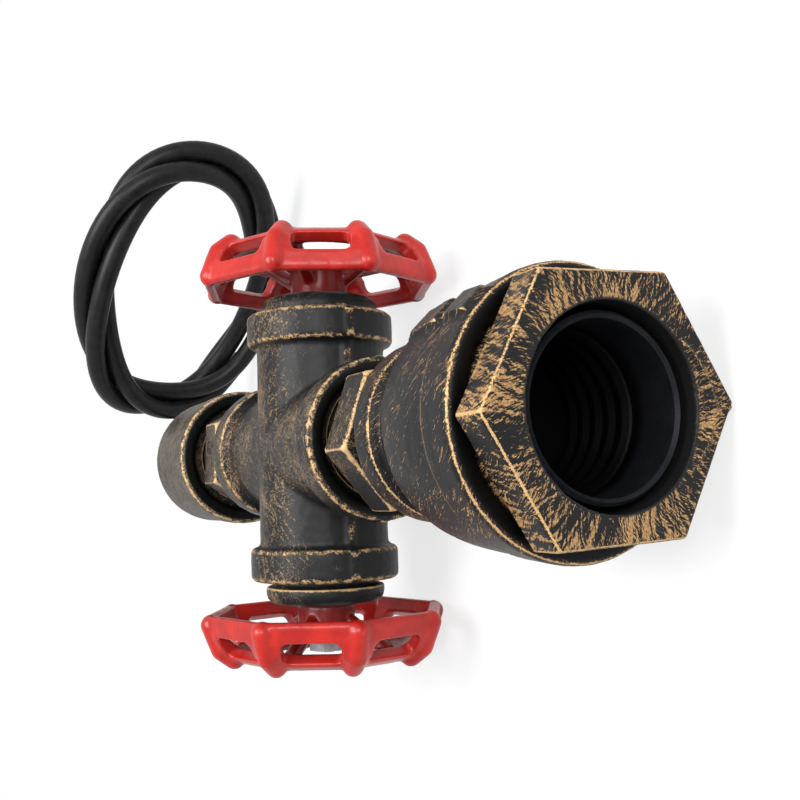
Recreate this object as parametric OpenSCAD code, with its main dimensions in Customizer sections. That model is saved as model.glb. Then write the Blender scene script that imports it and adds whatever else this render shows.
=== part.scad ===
// Pendant light made of threaded pipe fittings, lying on its two handwheels and its mouth.
// Sizes in millimetres. The lamp is built along its own axis from the mouth, then laid down.

/* [Hex bushing] */
// How far the corners of the mouth hexagon stay inside the band of the bell
hex_inset = 0.174; // [0:0.001:1]
// Thickness of the mouth hexagon
hex_t = 7.4; // [5:0.2:10]
// Turn of the mouth hexagon about the lamp axis, in degrees
hex_turn = -2.5; // [-10:0.5:10]
// Gap round the lampholder in the bore of the bushing
holder_gap = 1.15; // [0.8:0.05:1.6]
// Wall of the bushing under its thread
bushing_wall = 4.35; // [3.8:0.05:4.8]
// Length of bushing thread behind the hexagon
bushing_thread_len = 14; // [11:0.5:16]

/* [Bell reducer] */
// Gap left between the hexagon and the bell
bell_gap = 1.7; // [1:0.1:3]
// Length of the bell reducer
bell_len = 48; // [46:0.5:52]
// Wall of the bell over the bushing thread
bell_wall = 3; // [2.6:0.1:3.6]
// Height of the wide band above the body
bell_band_h = 1.1; // [0.6:0.1:2]
// Width of the wide band
bell_band_w = 9.6; // [8:0.2:11]
// Height of the two cast ribs above the body
bell_rib_h = 1.6; // [1:0.1:2.5]
// Width of the two cast ribs
bell_rib_w = 6; // [4:0.5:8]

/* [Pipe thread and bands] */
// Radius of the pipe thread that joins the fittings
pipe_thread_r = 13.2; // [12.8:0.05:13.5]
// Length of thread screwed into each fitting
engaged_len = 13; // [11:0.5:14]
// Distance from one thread ridge to the next
thread_pitch = 1.8; // [1.4:0.1:2.2]
// Depth of the thread
thread_depth = 0.9; // [0.6:0.1:1.1]
// Radius of the raised band round each pipe mouth
band_r = 18.6; // [18:0.1:19.5]
// Width of the raised band
band_w = 8.4; // [7:0.2:10]
// Radius of the neck behind a band
neck_r = 16.2; // [15.8:0.1:16.8]
// Radius of the clear passage through the fittings
passage_r = 9.5; // [9:0.1:10]

/* [Hex nipples] */
// Width across the flats of the nipple hexagons
nipple_af = 30; // [28:0.5:32]
// Thickness of the nipple hexagons
nipple_hex_t = 10; // [8:0.5:12]
// Turn of the front nipple hexagon, in degrees
front_hex_turn = -10.5; // [-30:0.5:30]
// Turn of the rear nipple hexagon, in degrees
rear_hex_turn = -28; // [-30:0.5:30]
// Thread that shows between the bell and the front hexagon
front_gap_a = 8; // [4:0.5:10]
// Thread that shows between the front hexagon and the cross
front_gap_b = 4.7; // [3:0.1:8]
// Thread that shows between the cross and the rear hexagon
rear_gap_a = 8.5; // [4:0.5:10]
// Thread that shows between the rear hexagon and the cord cap
rear_gap_b = 6.5; // [3:0.5:8]

/* [Pipe cross] */
// Distance from the cross centre to the ends on the lamp axis
run_reach = 35.5; // [34:0.5:38]
// Distance from the cross centre to the ends under the handwheels
branch_reach = 33.6; // [33:0.2:36]
// Height of the casting seam above the cross
seam_h = 0.7; // [0.4:0.1:1]
// Width of the casting seam
seam_w = 1.8; // [1.2:0.1:2.4]

/* [Cord cap] */
// Length of the cap that the cord leaves
cap_len = 35; // [32:0.5:38]
// Radius of the cap band
cap_band_r = 20.5; // [20:0.1:21]
// Radius of the cap behind its band
cap_body_r = 20; // [19.4:0.1:20.4]
// Thickness of the cap end wall
cap_wall = 5; // [4:0.5:6]

/* [Lampholder] */
// Depth of the holder rim inside the mouth
rim_recess = 2; // [1:0.1:3]
// Wall of the holder at its smooth mouth
holder_wall = 1.2; // [1:0.05:1.4]
// Depth of the smooth holder mouth
holder_mouth_len = 11; // [9:0.5:13]
// Ridge radius of the lamp thread in the holder
lamp_thread_r = 13.2; // [13.1:0.05:13.4]
// Step from the smooth mouth to the ridges of the lamp thread
holder_step = 1; // [0.8:0.05:1.2]
// Pitch of the lamp thread in the holder
lamp_pitch = 3.6; // [3.4:0.1:3.8]
// Thickness of the disc that carries the holder
disc_t = 2; // [1.5:0.1:2.5]
// Radius of the hollow screwed tube behind the holder
tube_r = 5; // [4.8:0.05:5.2]
// Radius of the wire passage in that tube
tube_bore_r = 3.6; // [3.55:0.05:3.8]

/* [Handwheels and stems] */
// Greatest radius of a handwheel, over its knuckles
wheel_r = 31.6; // [31:0.2:33]
// Distance from the lamp axis to the open edge of a handwheel
wheel_edge_x = 39.6; // [39:0.2:40.4]
// Depth of a handwheel from its open edge to its narrow end
wheel_depth = 12; // [11.6:0.2:14]
// Radius of the rounded knuckles at the corners
knuckle_r = 2.6; // [2.2:0.1:3]
// Height of the knuckles above the corners of the cup
knuckle_proud = 0.6; // [0.4:0.1:1]
// Wall of a handwheel
wheel_wall = 2.6; // [2.2:0.1:3]
// Length of the window in each side
window_l = 13.8; // [11:0.2:15]
// Width of the window in each side
window_w = 6; // [5:0.1:6.4]
// Corner radius of the window
window_round_r = 1.6; // [1:0.1:2.4]
// Radius of the handwheel hub
hub_r = 7.2; // [6.5:0.1:8]
// Radius of the opening inside the flange at the narrow end
flange_bore_r = 15.6; // [14:0.2:17]
// Radius of the spokes
spoke_r = 1.9; // [1.5:0.1:2.2]
// Number of spokes
spokes = 4; // [4, 8]
// Radius of the stem
stem_r = 4; // [3.6:0.1:4.4]
// Width of the square on the stem end
stem_sq = 5.4; // [4.8:0.1:5.6]
// Turn of the right handwheel from its corner-down place, in degrees
right_wheel_turn = 4.5; // [-20:0.5:20]
// Turn of the left handwheel from its corner-down place, in degrees
left_wheel_turn = -5; // [-20:0.5:20]
// Radius of the plug that closes each branch
plug_r = 14.9; // [14:0.1:16]
// Height of the plug above the branch end
plug_h = 4.2; // [3.6:0.1:4.4]
// How much farther out the left plug and its handwheel stand
left_out = 1.4; // [0:0.1:2]

/* [Cord] */
// Diameter of the cord
cord_d = 6.8; // [6.4:0.1:7]
// Length of the rubber sleeve outside the cap
sleeve_len = 14; // [10:0.5:16]
// Diameter of one insulated core
core_d = 2.2; // [2:0.1:2.4]

/* [Hidden] */
$fn = 64;

// Clearances and small edges
thread_clear = 0.05;
run_clear = 0.05;
end_play = 0.3;
edge = 0.6;
band_edge = 1.2;
eps = 0.01;

// The mouth nests outwards from the lamp thread: holder, bushing, bell, hexagon
holder_mouth_r = lamp_thread_r + holder_step;
holder_r = holder_mouth_r + holder_wall;
mouth_bore_r = holder_r + holder_gap;
bushing_thread_r = mouth_bore_r + bushing_wall;
bell_body_r = bushing_thread_r + bell_wall;
bell_band_r = bell_body_r + bell_band_h;
hex_corner_r = bell_band_r - hex_inset;
hex_af = hex_corner_r * sqrt(3);

// Stations along the lamp axis, from the front face of the mouth hexagon
bell_s = hex_t + bell_gap;
bell_end_s = bell_s + bell_len;
front_hex_s = bell_end_s + front_gap_a;
cross_face_s = front_hex_s + nipple_hex_t + front_gap_b;
cross_s = cross_face_s + run_reach;
cross_end_s = cross_s + run_reach;
rear_hex_s = cross_end_s + rear_gap_a;
cap_s = rear_hex_s + nipple_hex_t + rear_gap_b;
cap_end_s = cap_s + cap_len;
sleeve_end_s = cap_end_s + sleeve_len;

// Bell reducer, outside and inside
bell_bore_r = bushing_thread_r + thread_clear;
pipe_bore_r = pipe_thread_r + thread_clear;
small_band_s = bell_len - band_w + 0.9;
shoulder_s = 31;
shoulder_drop = 4.3;
bell_cavity_wall = 4.3;
bell_cavity_r = bell_body_r - bell_cavity_wall;
cavity_taper_s = 23;
cross_passage_r = passage_r + 1.5;
bell_step_r = pipe_bore_r - 1.25;
bell_step_s = bell_len - engaged_len - disc_t;

// Lampholder stations, measured from the mouth face
disc_s = bell_s + bell_step_s;
nipple_front_s = disc_s + disc_t;
holder_cap_len = 6;
base_t = 5;
shell_end_s = disc_s - holder_cap_len;
base_s = shell_end_s - base_t;
rim_s = rim_recess;
lamp_root_r = lamp_thread_r + 0.7;
base_r = lamp_root_r - run_clear;
nut_t = 4;
nut_af = 14;
tag_t = 1;
tag_r = tube_r + 2.6;
tag_w = 3;
tag_lug_t = 0.8;
tag_lug_y = passage_r - tag_lug_t - 0.4;
tag_lug_h = nut_t + 4;
terminal_h = 3;
terminal_w = 3.6;
terminal_reach = 8;
terminal_room = 0.2;
contact_t = 0.6;
contact_w = 4.6;
tongue_x = 2.5;
tongue_rise = 1.2;
upright_h = 5;
screw_x = 6;
screw_r = 1.2;
screw_hole_r = screw_r + thread_clear;
screw_head_r = 1.9;
screw_head_t = 1.2;
tube_spare = 2;
wire_off = 2.3;

// Handwheel and stem, measured outwards from the lamp axis
wheel_end_x = wheel_edge_x + wheel_depth;
corner_r = wheel_r - knuckle_proud;
cup_shares = [0, 0.08, 0.42, 0.7, 0.9, 1];
cup_drops = [0.6, 0, 0.6, 2.4, 5.6, 8.8];
cup_lift = wheel_wall;
window_share = 0.64;
window_slope = 34;
plug_end_x = branch_reach + plug_h;
plug_round_r = 2.4;
hub_x = plug_end_x + end_play;
hub_len = 8;
hub_end_x = hub_x + hub_len;
square_x = hub_x + 3;
nut_h = 3;
wheel_nut_af = 8;
washer_t = 0.8;
tip_r = 2.2;
tip_spare = 0.4;
stem_in_x = branch_reach - engaged_len;
collar_r = 6.4;
collar_t = 3;
packing_r = 6.4;
packing_t = 3;

// Resting place: the lamp leans on its two handwheels and on the mouth
hex_low = hex_corner_r * cos(abs(hex_turn));
function lean(ahead, below) = asin(wheel_r / norm([ahead, below])) - atan2(below, ahead);
nose_tilt = min(lean(cross_s, hex_low), lean(cross_s - bell_s, bell_band_r));
front_y = -cross_s * cos(nose_tilt) - hex_low * sin(nose_tilt);
sleeve_tip_wall = 1.3;
sleeve_tip_r = cord_d / 2 + sleeve_tip_wall;
rear_y = (sleeve_end_s - cross_s) * cos(nose_tilt) + sleeve_tip_r * sin(nose_tilt);
centre_y = -(front_y + rear_y) / 2;

// Cord route in the laid frame: out of the sleeve, then round into the coil
cord_in_len = 11;
cord_in_s = cap_end_s - cap_wall - cord_in_len;
function on_axis(s) = [
    0,
    centre_y + (s - cross_s) * cos(nose_tilt),
    wheel_r + (s - cross_s) * sin(nose_tilt)
];
lead_bend = [
    [0, 125, 39],
    [3, 138, 39],
    [8.5, 150, 38],
    [16, 160.5, 35.5],
    [25.5, 168.5, 31],
    [36.5, 172.5, 24.5],
    [47.5, 171, 17],
    [56.5, 164, 11],
    [63.5, 153.5, 7.5],
    [69.5, 141.5, 7.5]
];
coil_centre = [64, 123, 41.5];
coil_end_r = 33.5;
coil_stretch = 14;
coil_yaw = 36;
coil_lean = 17;
coil_turns = 2.84;
coil_start = 286;
coil_lay_r = 4.4;
coil_lay_start = 120;
coil_lay_rate = 5 / 3;
rings_per_turn = 24;
coil_sides = 6;
lead_sides = 10;

// Sweeps a round tube along points, each ring square to the path
function unit(v) = v / norm(v);
function heading(p, i) =
    let (a = p[max(i - 1, 0)], b = p[min(i + 1, len(p) - 1)])
    unit(b - a);
function side_axis(t, hint) = unit(cross(hint, t));
function ring_points(c, t, hint, r, sides) =
    let (u = side_axis(t, hint), v = cross(t, u))
    [for (k = [0:sides - 1]) c + r * (cos(360 * k / sides) * u + sin(360 * k / sides) * v)];
module sweep(p, r, sides, hint) {
    rings = [for (i = [0:len(p) - 1]) each ring_points(p[i], heading(p, i), hint, r, sides)];
    last = (len(p) - 1) * sides;
    walls = [
        for (i = [0:len(p) - 2], k = [0:sides - 1])
            let (a = i * sides + k, b = i * sides + (k + 1) % sides)
            each [[a, a + sides, b], [b, a + sides, b + sides]]
    ];
    start_cap = [for (k = [1:sides - 2]) [0, k, k + 1]];
    end_cap = [for (k = [1:sides - 2]) [last, last + k + 1, last + k]];
    polyhedron(rings, concat(walls, start_cap, end_cap), convexity = 12);
}

// The coil is one run of cord that circles and twists round its own bundle
function coil_point(turn) =
    let (
        a = coil_start + 360 * turn,
        lay = coil_lay_start + coil_lay_rate * 360 * turn,
        drawn = coil_stretch * (3 * cos(a) - pow(cos(a), 3)) / 2,
        oval = [coil_end_r * cos(a) + drawn, coil_end_r * sin(a)],
        flat = oval + coil_lay_r * cos(lay) * [cos(a), sin(a)],
        across = flat[0],
        up = flat[1],
        deep = coil_lay_r * sin(lay),
        along = [cos(coil_yaw), -sin(coil_yaw), 0],
        back = [sin(coil_yaw), cos(coil_yaw), 0]
    )
    coil_centre + across * along
    + (deep * cos(coil_lean) - up * sin(coil_lean)) * back
    + [0, 0, deep * sin(coil_lean) + up * cos(coil_lean)];
coil_steps = round(coil_turns * rings_per_turn);
coil_body = [for (i = [0:coil_steps]) coil_point(i / rings_per_turn)];
coil_in_dir = unit(coil_body[1] - coil_body[0]);
coil_out_dir = unit(coil_body[coil_steps] - coil_body[coil_steps - 1]);
coil_in = coil_body[0] - cord_d * coil_in_dir;
coil_out = coil_body[coil_steps] + cord_d * coil_out_dir;
coil_path = concat([coil_in], coil_body, [coil_out]);
neighbours = round(rings_per_turn / 2);
coil_gaps = [
    for (i = [0:len(coil_path) - 1], j = [i + neighbours:1:len(coil_path) - 1])
        norm(coil_path[i] - coil_path[j]) - cord_d
];
echo(least_coil_gap = min(coil_gaps), lowest_coil_point = min([for (p = coil_path) p[2]]) - cord_d / 2);

lead_path = concat(
    [on_axis(cord_in_s), on_axis(sleeve_end_s)],
    lead_bend,
    [coil_in - cord_d * coil_in_dir, coil_in]
);

// Colours
enamel = [0.16, 0.15, 0.14];
gilt = [0.45, 0.36, 0.25];
wheel_red = [0.72, 0.08, 0.07];
black_plastic = [0.05, 0.05, 0.055];
brass = [0.75, 0.6, 0.3];
steel = [0.62, 0.62, 0.62];
rubber = [0.06, 0.06, 0.06];
felt = [0.3, 0.29, 0.27];

// Lays a piece built along the lamp axis down onto the wheels and the mouth
module laid() {
    translate([0, centre_y, wheel_r])
        rotate([nose_tilt - 90, 0, 0])
            translate([0, 0, -cross_s])
                children();
}

// Stands a piece built along a branch axis on the right (1) or left (-1) side of the cross
module branch(side) {
    translate([0, centre_y, wheel_r])
        rotate([0, side * 90, 0])
            translate([0, 0, side < 0 ? left_out : 0])
                children();
}

// Hexagonal prism with bevelled edges
module hex_prism(af, t, bevel) {
    r = af / sqrt(3);
    cylinder(h = bevel, r1 = r - bevel, r2 = r, $fn = 6);
    translate([0, 0, bevel])
        cylinder(h = t - 2 * bevel, r = r, $fn = 6);
    translate([0, 0, t - bevel])
        cylinder(h = bevel, r1 = r, r2 = r - bevel, $fn = 6);
}

// Solid of revolution for a length of thread
module thread_rod(r, length) {
    ridges = floor(length / thread_pitch);
    flat = (length - ridges * thread_pitch) / 2;
    rotate_extrude()
        polygon(concat(
            [[0, 0], [r, 0]],
            [for (i = [0:ridges - 1]) each [
                [r, flat + i * thread_pitch],
                [r - thread_depth, flat + (i + 0.5) * thread_pitch]
            ]],
            [[r, flat + ridges * thread_pitch], [r, length], [0, length]]
        ));
}

// Raised band round a pipe mouth, with eased edges
module band(r, inner, width) {
    rotate_extrude()
        polygon([
            [inner, 0], [r - band_edge, 0], [r - band_edge / 4, band_edge / 3], [r, band_edge],
            [r, width - band_edge], [r - band_edge / 4, width - band_edge / 3], [r - band_edge, width],
            [inner, width]
        ]);
}

module hex_bushing() {
    color(gilt) laid()
        difference() {
            union() {
                rotate([0, 0, 90 + hex_turn])
                    hex_prism(hex_af, hex_t, edge);
                translate([0, 0, hex_t - eps])
                    thread_rod(bushing_thread_r, bushing_thread_len + eps);
            }
            translate([0, 0, -1])
                cylinder(h = hex_t + bushing_thread_len + 2, r = mouth_bore_r);
        }
}

// Outline of the bell from its wide band to its small band
function bell_shoulder() = [
    for (a = [90:-10:0])
        [bell_body_r - shoulder_drop * (1 - sin(a)), bell_band_w + (shoulder_s - bell_band_w) * cos(a)]
];
module bell_outline() {
    polygon(concat(
        [
            [0, 0], [bell_band_r - band_edge, 0], [bell_band_r - band_edge / 4, band_edge / 3],
            [bell_band_r, band_edge], [bell_body_r + edge, bell_band_w - edge], [bell_body_r, bell_band_w]
        ],
        bell_shoulder(),
        [
            [neck_r + 1.2, shoulder_s + 3.4], [neck_r, shoulder_s + 5.4], [neck_r, small_band_s],
            [band_r - band_edge, small_band_s], [band_r, small_band_s + band_edge],
            [band_r, bell_len - band_edge], [band_r - band_edge, bell_len], [0, bell_len]
        ]
    ));
}
module bell_hollow() {
    polygon([
        [0, -1], [bell_bore_r, -1], [bell_bore_r, bushing_thread_len],
        [bell_cavity_r, bushing_thread_len + band_edge], [bell_cavity_r, cavity_taper_s],
        [bell_step_r, bell_step_s - 1], [bell_step_r, bell_step_s],
        [pipe_bore_r, bell_step_s], [pipe_bore_r, bell_len + 1], [0, bell_len + 1]
    ]);
}
// Cast rib that crosses the band, dips behind it and runs on down the body
module bell_rib() {
    foot = bell_body_r - bell_wall / 2;
    dip = bell_band_w + 1;
    end = 2 * bell_band_w + 5;
    rotate([90, 0, 0])
        translate([0, 0, -bell_rib_w / 2])
            linear_extrude(bell_rib_w)
                polygon([
                    [foot, band_edge], [bell_band_r, band_edge],
                    [bell_band_r + bell_rib_h / 2, 2 * band_edge],
                    [bell_band_r + bell_rib_h / 2, bell_band_w - 2 * edge], [bell_body_r + edge, dip - edge],
                    [bell_body_r + edge, dip + edge], [bell_body_r + bell_rib_h, dip + 2 * edge],
                    [bell_body_r + bell_rib_h - 1, end - 3], [bell_body_r - 1, end], [foot, end]
                ]);
}
module bell_reducer() {
    color(enamel) laid()
        translate([0, 0, bell_s])
            difference() {
                union() {
                    rotate_extrude()
                        bell_outline();
                    for (place = [-45, 135])
                        rotate([0, 0, place])
                            bell_rib();
                }
                rotate_extrude()
                    bell_hollow();
            }
}

// Hexagon nipple, from its front thread end, with the lengths of thread before and after the hexagon
module nipple(front_len, rear_len, turn) {
    difference() {
        union() {
            thread_rod(pipe_thread_r, front_len);
            translate([0, 0, front_len - eps])
                rotate([0, 0, 90 + turn])
                    hex_prism(nipple_af, nipple_hex_t + 2 * eps, edge);
            translate([0, 0, front_len + nipple_hex_t])
                thread_rod(pipe_thread_r, rear_len);
        }
        translate([0, 0, -1])
            cylinder(h = front_len + nipple_hex_t + rear_len + 2, r = passage_r);
    }
}
module front_nipple() {
    color(gilt) laid()
        translate([0, 0, nipple_front_s])
            nipple(front_hex_s - nipple_front_s, front_gap_b + engaged_len, front_hex_turn);
}
module rear_nipple() {
    color(gilt) laid()
        translate([0, 0, cross_end_s - engaged_len])
            nipple(engaged_len + rear_gap_a, rear_gap_b + engaged_len, rear_hex_turn);
}

// One arm pair of the cross along z, with a band at each end
module cross_arm(reach) {
    translate([0, 0, -reach + 1])
        cylinder(h = 2 * (reach - 1), r = neck_r);
    translate([0, 0, reach - band_w])
        band(band_r, neck_r - 1, band_w);
    translate([0, 0, -reach])
        band(band_r, neck_r - 1, band_w);
}
module cross_bore(reach) {
    translate([0, 0, -reach])
        cylinder(h = 2 * reach, r = cross_passage_r);
    for (end = [0, 180])
        rotate([0, end, 0])
            translate([0, 0, reach - engaged_len])
                cylinder(h = engaged_len + 1, r = pipe_bore_r);
}
// Casting seam in the plane of the four ends
module cross_seam() {
    for (arm = [[run_reach, 0], [branch_reach, 90]])
        rotate([0, arm[1], 0])
            intersection() {
                union() {
                    cylinder(h = 2 * arm[0] - 2, r = neck_r + seam_h, center = true);
                    for (end = [-1, 1])
                        translate([0, 0, end * (arm[0] - band_w / 2)])
                            cylinder(h = band_w - 2 * band_edge, r = band_r + seam_h / 2, center = true);
                }
                cube([4 * band_r, seam_w, 4 * run_reach], center = true);
            }
}
module pipe_cross() {
    color(enamel) laid()
        translate([0, 0, cross_s])
            difference() {
                union() {
                    cross_arm(run_reach);
                    rotate([0, 90, 0])
                        cross_arm(branch_reach);
                    cross_seam();
                }
                cross_bore(run_reach);
                rotate([0, 90, 0])
                    cross_bore(branch_reach);
            }
}

cap_round_r = 4;
module cord_cap() {
    color(enamel) laid()
        translate([0, 0, cap_s])
            difference() {
                union() {
                    band(cap_band_r, neck_r, band_w + 1);
                    rotate_extrude()
                        polygon(concat(
                            [[0, 1], [cap_body_r, 1]],
                            [for (a = [0:15:90]) [
                                cap_body_r - cap_round_r * (1 - cos(a)),
                                cap_len - cap_round_r * (1 - sin(a))
                            ]],
                            [[0, cap_len]]
                        ));
                }
                translate([0, 0, -1])
                    cylinder(h = engaged_len + 1, r = pipe_bore_r);
                translate([0, 0, engaged_len - 1])
                    cylinder(h = cap_len - cap_wall - engaged_len + 1, r = pipe_bore_r - 1);
                cylinder(h = cap_len + 1, r = sleeve_neck_r + thread_clear);
            }
}

// Rubber sleeve with a flange inside the cap, a neck in its hole and a taper outside
sleeve_neck_wall = 2.6;
sleeve_neck_r = cord_d / 2 + sleeve_neck_wall;
sleeve_flange_w = 2;
sleeve_flange_r = sleeve_neck_r + sleeve_flange_w;
sleeve_flange_t = 3;
sleeve_shoulder_w = 1.6;
sleeve_shoulder_r = sleeve_neck_r + sleeve_shoulder_w;
sleeve_shoulder_t = 2;
sleeve_bore_r = cord_d / 2 + run_clear;
module strain_relief() {
    wall_s = cap_end_s - cap_wall;
    color(rubber) laid()
        rotate_extrude()
            polygon([
                [sleeve_bore_r, wall_s - sleeve_flange_t], [sleeve_flange_r, wall_s - sleeve_flange_t],
                [sleeve_flange_r, wall_s], [sleeve_neck_r, wall_s], [sleeve_neck_r, cap_end_s],
                [sleeve_shoulder_r, cap_end_s], [sleeve_shoulder_r, cap_end_s + sleeve_shoulder_t],
                [sleeve_tip_r, sleeve_end_s], [sleeve_bore_r, sleeve_end_s]
            ]);
}
// Crimped collar that keeps the cord from pulling out
module cord_collar() {
    collar_len = 6;
    collar_wall = 1.8;
    color(steel) laid()
        translate([0, 0, cap_end_s - cap_wall - sleeve_flange_t - collar_len])
            difference() {
                cylinder(h = collar_len, r = cord_d / 2 + collar_wall);
                translate([0, 0, -1])
                    cylinder(h = collar_len + 2, r = sleeve_bore_r);
            }
}

// Insulating sleeve of the holder: smooth mouth, then the lamp thread
module lampholder_shell() {
    thread_s = rim_s + holder_mouth_len;
    ridges = floor((base_s - thread_s) / lamp_pitch);
    color(black_plastic) laid()
        rotate_extrude()
            polygon(concat(
                [[holder_mouth_r, rim_s + edge], [holder_mouth_r, thread_s]],
                [for (i = [0:ridges - 1]) each [
                    [lamp_root_r, thread_s + (i + 0.1) * lamp_pitch],
                    [lamp_thread_r, thread_s + (i + 0.4) * lamp_pitch],
                    [lamp_thread_r, thread_s + (i + 0.6) * lamp_pitch],
                    [lamp_root_r, thread_s + (i + 0.9) * lamp_pitch]
                ]],
                [
                    [lamp_root_r, shell_end_s], [holder_r, shell_end_s],
                    [holder_r, rim_s + edge], [holder_r - edge, rim_s], [holder_mouth_r + edge, rim_s]
                ]
            ));
}
module lampholder_base() {
    color(black_plastic) laid()
        translate([0, 0, base_s])
            difference() {
                cylinder(h = base_t, r = base_r);
                for (x = [-screw_x, screw_x])
                    translate([x, 0, -1])
                        cylinder(h = base_t + 2, r = screw_hole_r);
            }
}
module lampholder_cap() {
    dome_r = holder_r - 5;
    color(black_plastic) laid()
        translate([0, 0, shell_end_s])
            difference() {
                rotate_extrude()
                    polygon([
                        [0, 0], [holder_r, 0], [dome_r + 1.5, 0.7 * holder_cap_len],
                        [dome_r, holder_cap_len], [0, holder_cap_len]
                    ]);
                translate([0, 0, -1])
                    cylinder(h = terminal_h + 1 + terminal_room, r = terminal_reach + 2 * terminal_room);
                cylinder(h = holder_cap_len + 1, r = tube_r + thread_clear);
            }
}
// Strip of contact brass with the hole for its terminal screw
module contact_strip(from_x, to_x, screw_x) {
    difference() {
        translate([from_x, -contact_w / 2, -contact_t])
            cube([to_x - from_x, contact_w, contact_t]);
        translate([screw_x, 0, -2 * contact_t])
            cylinder(h = 3 * contact_t, r = screw_hole_r);
    }
}
// Folded tongue that meets the lamp's tip
module centre_contact() {
    color(brass) laid()
        translate([0, 0, base_s]) {
            contact_strip(-tongue_x, screw_x + contact_w / 2, screw_x);
            translate([-tongue_x, -contact_w / 2, -contact_t - tongue_rise])
                cube([contact_t, contact_w, tongue_rise]);
            translate([-tongue_x, -contact_w / 2, -2 * contact_t - tongue_rise])
                cube([2 * tongue_x, contact_w, contact_t]);
        }
}
// Strip with an upright that meets the lamp's threaded shell
module side_contact() {
    far_x = lamp_thread_r - 0.8;
    color(brass) laid()
        translate([0, 0, base_s]) {
            contact_strip(-far_x, -screw_x + contact_w / 2 - 1, -screw_x);
            translate([-far_x, -contact_w / 2, -contact_t - upright_h])
                cube([contact_t, contact_w, upright_h]);
        }
}
module terminal_blocks() {
    color(brass) laid()
        for (side = [0, 180])
            rotate([0, 0, side])
                translate([1, -terminal_w / 2, shell_end_s])
                    cube([terminal_reach - 1, terminal_w, terminal_h]);
}
// Screws through the base that hold the contacts to the terminal blocks
module terminal_screws() {
    color(steel) laid()
        for (x = [-screw_x, screw_x])
            translate([x, 0, base_s - contact_t]) {
                translate([0, 0, -screw_head_t])
                    cylinder(h = screw_head_t, r = screw_head_r);
                cylinder(h = base_t + contact_t, r = screw_r);
            }
}
// Hollow screwed tube from the holder through the carrier disc
module holder_tube() {
    start = shell_end_s + terminal_h + terminal_room;
    length = nipple_front_s + tag_t + nut_t + tube_spare - start;
    color(steel) laid()
        translate([0, 0, start])
            difference() {
                cylinder(h = length, r = tube_r);
                translate([0, 0, -1])
                    cylinder(h = length + 2, r = tube_bore_r);
            }
}
module carrier_disc() {
    color(steel) laid()
        translate([0, 0, disc_s])
            difference() {
                cylinder(h = disc_t, r = pipe_bore_r - thread_clear);
                translate([0, 0, -1])
                    cylinder(h = disc_t + 2, r = tube_r + thread_clear);
            }
}
module earth_tag() {
    color(brass) laid()
        translate([0, 0, nipple_front_s])
            difference() {
                union() {
                    cylinder(h = tag_t, r = tag_r);
                    translate([-tag_w / 2, 0, 0])
                        cube([tag_w, tag_lug_y + tag_lug_t, tag_t]);
                    translate([-tag_w / 2, tag_lug_y, 0])
                        cube([tag_w, tag_lug_t, tag_lug_h]);
                }
                translate([0, 0, -1])
                    cylinder(h = tag_t + 2, r = tube_r + thread_clear);
            }
}
module holder_lock_nut() {
    color(steel) laid()
        translate([0, 0, nipple_front_s + tag_t])
            difference() {
                cylinder(h = nut_t, r = nut_af / sqrt(3), $fn = 6);
                translate([0, 0, -1])
                    cylinder(h = nut_t + 2, r = tube_r + thread_clear);
            }
}

// Cores run straight from the cord end to the holder, or to the earth tag
module core_run(x, y, from_s, to_s) {
    laid()
        translate([x, y, from_s])
            cylinder(h = to_s - from_s, r = core_d / 2, $fn = 24);
}
module live_wire() {
    color("saddlebrown")
        core_run(wire_off * cos(30), -wire_off * sin(30), shell_end_s + terminal_h, cord_in_s);
}
module neutral_wire() {
    color("royalblue")
        core_run(-wire_off * cos(30), -wire_off * sin(30), shell_end_s + terminal_h, cord_in_s);
}
module earth_wire() {
    tag_y = tag_lug_y - core_d / 2;
    tag_end = nipple_front_s + tag_lug_h;
    bend = [
        [0, tag_y, tag_end - 2],
        [0, tag_y, tag_end + 8],
        [0, wire_off, tag_end + 24],
        [0, wire_off, cord_in_s]
    ];
    color("yellowgreen") laid()
        sweep(bend, core_d / 2, 8, [1, 0, 0]);
}

// Plug that closes a branch and guides the stem
module plug(side) {
    color(enamel) branch(side)
        difference() {
            union() {
                translate([0, 0, stem_in_x])
                    cylinder(h = engaged_len + 1, r = pipe_thread_r);
                translate([0, 0, branch_reach])
                    rotate_extrude()
                        polygon(concat(
                            [[0, 0], [plug_r, 0]],
                            [for (a = [0:30:90]) [
                                plug_r - plug_round_r * (1 - cos(a)),
                                plug_h - plug_round_r * (1 - sin(a))
                            ]],
                            [[0, plug_h]]
                        ));
            }
            translate([0, 0, stem_in_x - 1])
                cylinder(h = engaged_len + plug_h + 2, r = stem_r + run_clear);
            translate([0, 0, plug_end_x - packing_t])
                cylinder(h = packing_t + 1, r = packing_r + thread_clear);
        }
}
module right_plug() { plug(1); }
module left_plug() { plug(-1); }

// Packing ring that keeps the wheel where it is set
module packing(side) {
    color(felt) branch(side)
        translate([0, 0, plug_end_x - packing_t])
            difference() {
                cylinder(h = packing_t, r = packing_r);
                translate([0, 0, -1])
                    cylinder(h = packing_t + 2, r = stem_r + run_clear);
            }
}
module right_packing() { packing(1); }
module left_packing() { packing(-1); }

// Place on the corner line of the cup: radius and distance outwards
function cup_corner(i) = [corner_r - cup_drops[i], wheel_edge_x + cup_shares[i] * wheel_depth];
// Eight-sided cup, its corner line drawn in by the inset and shifted outwards by the lift
module eight_cup(inset, lift) {
    for (i = [0:len(cup_shares) - 2]) {
        a = cup_corner(i);
        b = cup_corner(i + 1);
        translate([0, 0, a[1] + lift])
            cylinder(h = b[1] - a[1], r1 = a[0] - inset, r2 = b[0] - inset, $fn = 8);
    }
}
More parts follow.
